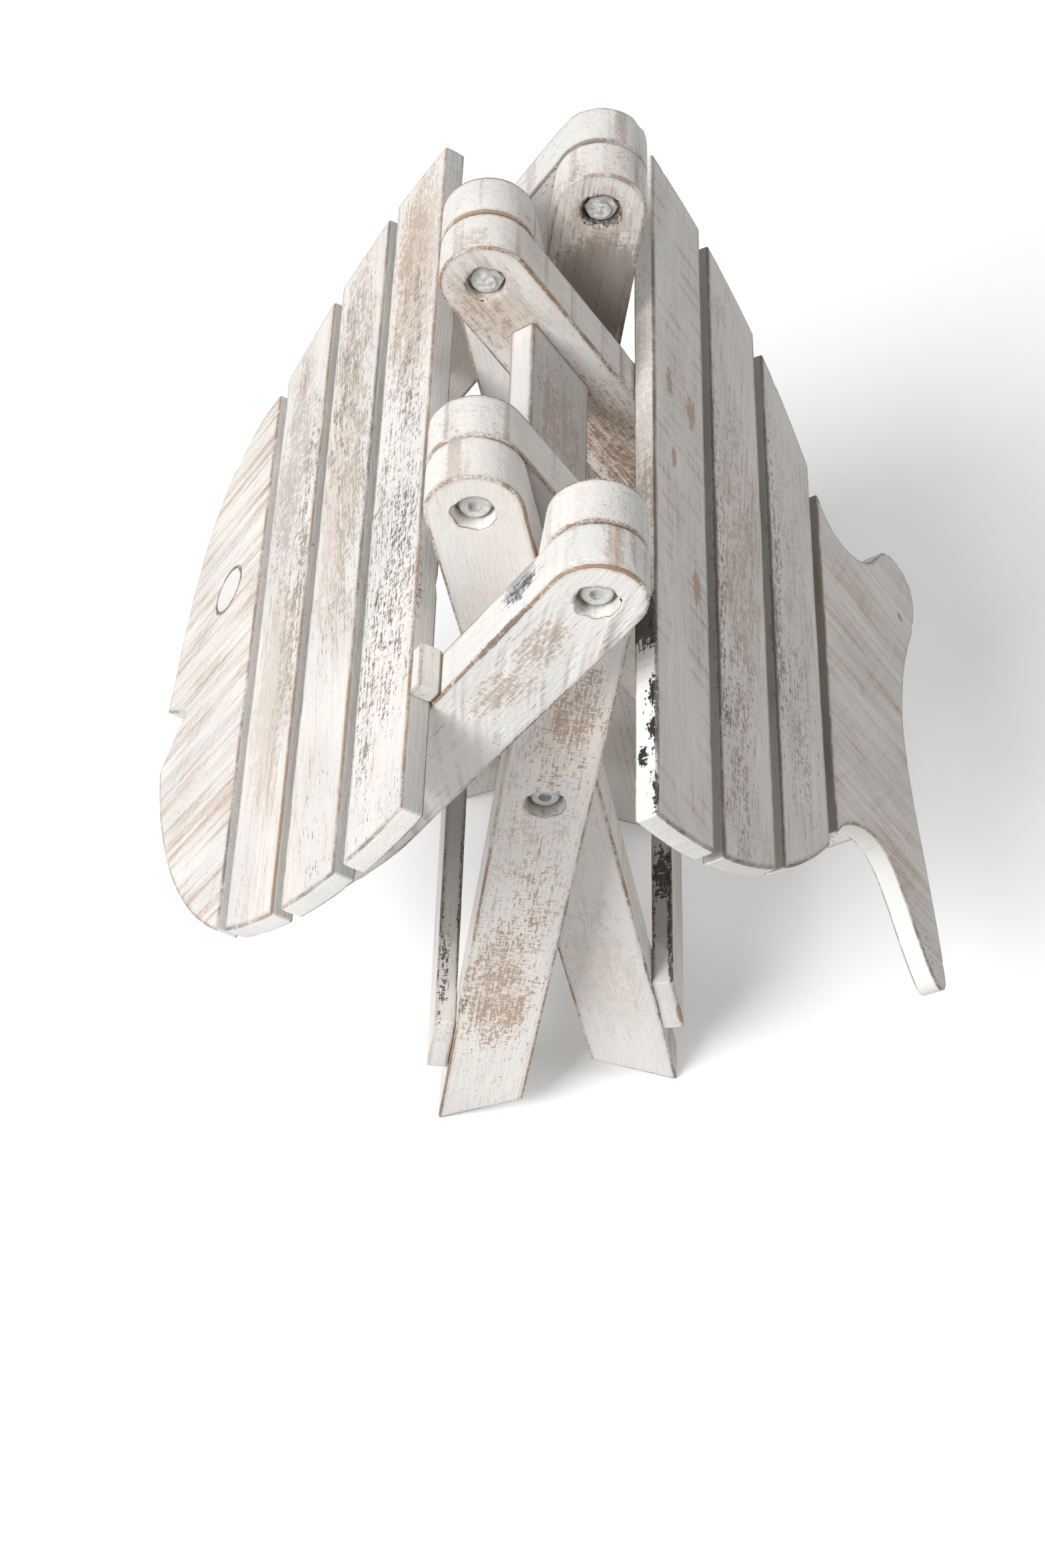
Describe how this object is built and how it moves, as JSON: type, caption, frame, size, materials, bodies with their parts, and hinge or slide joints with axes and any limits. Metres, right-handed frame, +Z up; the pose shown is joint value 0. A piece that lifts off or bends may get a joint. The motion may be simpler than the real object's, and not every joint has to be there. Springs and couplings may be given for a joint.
{
  "type": "folding stool",
  "caption": "Folding wooden stool with a fish-shaped slatted seat in two halves on crossed legs, bolted at the cross and at the leg tops.",
  "frame": {"origin": "on the floor, under the middle of the half-folded stool", "axes": "+X from the head to the tail, +Y to the back, +Z up"},
  "size_m": [0.373, 0.398, 0.4289],
  "materials": {
    "slat_wood": "distressed whitewash",
    "end_board_wood": "distressed whitewash",
    "bar_wood": "distressed whitewash",
    "bolt_steel": "dull, painted over"
  },
  "bodies": {
    "leg_frame_a": {"leg_a_front": "bar_wood", "leg_a_rear": "bar_wood", "leg_a_stretcher": "bar_wood", "cross_bolts": "bolt_steel", "cross_nuts": "bolt_steel"},
    "leg_frame_b": {"leg_b_front": "bar_wood", "leg_b_rear": "bar_wood", "leg_b_stretcher": "bar_wood"},
    "left_pivot": {"left_pivot_bolts": "bolt_steel", "left_pivot_nuts": "bolt_steel"},
    "right_pivot": {"right_pivot_bolts": "bolt_steel", "right_pivot_nuts": "bolt_steel"},
    "left_seat": {"left_batten_front": "bar_wood", "left_batten_rear": "bar_wood", "left_slat_1": "slat_wood", "left_slat_2": "slat_wood", "left_slat_3": "slat_wood", "head_board": "end_board_wood", "eye_disc": "end_board_wood", "stop_block_front": "bar_wood", "stop_block_rear": "bar_wood"},
    "right_seat": {"right_batten_front": "bar_wood", "right_batten_rear": "bar_wood", "right_slat_1": "slat_wood", "right_slat_2": "slat_wood", "right_slat_3": "slat_wood", "tail_board": "end_board_wood", "handle_board": "bar_wood"}
  },
  "joints": [
    {"name": "leg_fold", "type": "hinge", "parent": "leg_frame_a", "child": "leg_frame_b", "pos_m": [0.00395, -0.006, 0.25622], "axis": [0, -1, 0], "range_deg": [-16.5, 2.5]},
    {"name": "left_pivot_turn", "type": "hinge", "parent": "leg_frame_a", "child": "left_pivot", "pos_m": [0.02774, -0.006, 0.40888], "axis": [0, 1, 0], "range_deg": [-16.5, 2.5]},
    {"name": "right_pivot_turn", "type": "hinge", "parent": "leg_frame_b", "child": "right_pivot", "pos_m": [-0.01985, -0.006, 0.40888], "axis": [0, -1, 0], "range_deg": [-16.5, 2.5]},
    {"name": "left_seat_lift", "type": "hinge", "parent": "left_pivot", "child": "left_seat", "pos_m": [0.02774, -0.006, 0.40888], "axis": [0, 1, 0], "range_deg": [0, 55]},
    {"name": "right_seat_lift", "type": "hinge", "parent": "right_pivot", "child": "right_seat", "pos_m": [-0.01985, -0.006, 0.40888], "axis": [0, -1, 0], "range_deg": [0, 58.8]}
  ],
  "couplings": [
    {"joint": "left_pivot_turn", "follows": "leg_fold", "ratio": 1},
    {"joint": "right_pivot_turn", "follows": "leg_fold", "ratio": 1}
  ]
}
